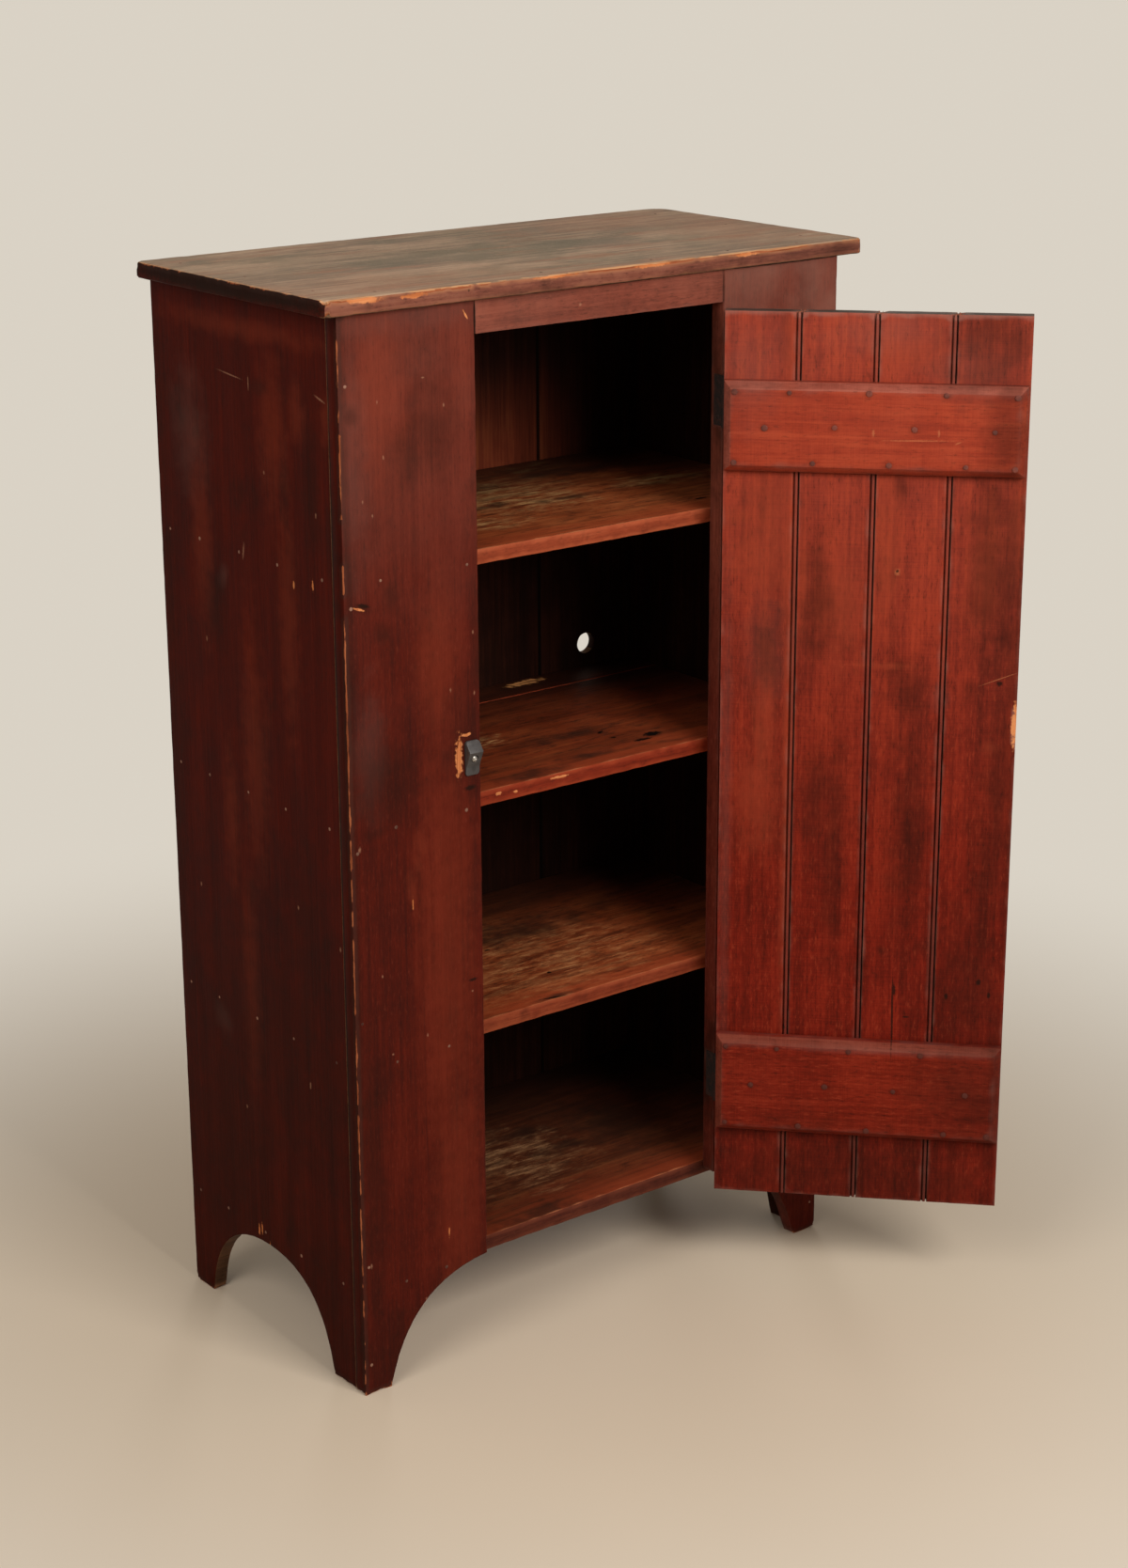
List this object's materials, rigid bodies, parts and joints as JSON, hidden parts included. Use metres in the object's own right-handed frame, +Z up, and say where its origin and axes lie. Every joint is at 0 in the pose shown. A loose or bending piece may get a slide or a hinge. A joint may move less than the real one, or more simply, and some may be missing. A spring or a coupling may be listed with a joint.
{
  "type": "cupboard",
  "caption": "Painted pine cupboard with shelves behind a board-and-batten door on butt hinges, shut by an iron turn button, on arched feet.",
  "frame": {"origin": "centre of the case's footprint on the floor, midway between the outer faces of the sides and midway between the face of the stiles and the back", "axes": "+Z is up, +X is to the right as one faces the door, and +Y points from the front of the case to its back"},
  "size_m": [0.851, 0.712, 1.38],
  "materials": {
    "top_paint": "worn grey-brown paint over pine",
    "case_paint": "old oxblood red paint over pine, worn bare at the edges",
    "door_paint": "orange-red paint over pine",
    "shelf_pine": "bare pine, browned and rubbed",
    "back_pine": "bare pine, dark with age",
    "hinge_iron": "dark iron",
    "nail_iron": "dull rusted iron",
    "bright_screw": "rubbed bright steel"
  },
  "bodies": {
    "case": {"top_board": "top_paint", "left_side": "case_paint", "right_side": "case_paint", "left_stile": "case_paint", "right_stile": "case_paint", "top_rail": "case_paint", "upper_shelf": "shelf_pine", "middle_shelf": "shelf_pine", "middle_shelf_strip": "shelf_pine", "lower_shelf": "shelf_pine", "bottom_board": "shelf_pine", "back_board_1": "back_pine", "back_board_2": "back_pine", "back_board_3": "back_pine", "back_board_4": "back_pine", "top_nails": "nail_iron", "side_nails": "nail_iron", "stile_nails": "nail_iron", "back_nails": "nail_iron", "upper_stile_leaf": "hinge_iron", "lower_stile_leaf": "hinge_iron", "upper_hinge_pin": "hinge_iron", "lower_hinge_pin": "hinge_iron", "stile_leaf_screws": "hinge_iron", "button_screw": "bright_screw"},
    "door": {"door_board_1": "door_paint", "door_board_2": "door_paint", "door_board_3": "door_paint", "door_board_4": "door_paint", "upper_batten": "door_paint", "lower_batten": "door_paint", "batten_nails": "nail_iron", "upper_door_leaf": "hinge_iron", "lower_door_leaf": "hinge_iron", "door_leaf_screws": "hinge_iron"},
    "button": {"turn_button": "hinge_iron"}
  },
  "joints": [
    {"name": "door_hinge", "type": "hinge", "parent": "case", "child": "door", "pos_m": [0.19025, -0.21, 0.73], "axis": [0, 0, 1], "range_deg": [-133.5, 46.5]},
    {"name": "button_turn", "type": "hinge", "parent": "case", "child": "button", "pos_m": [-0.2035, -0.207, 0.808], "axis": [0, 1, 0], "continuous": true}
  ]
}
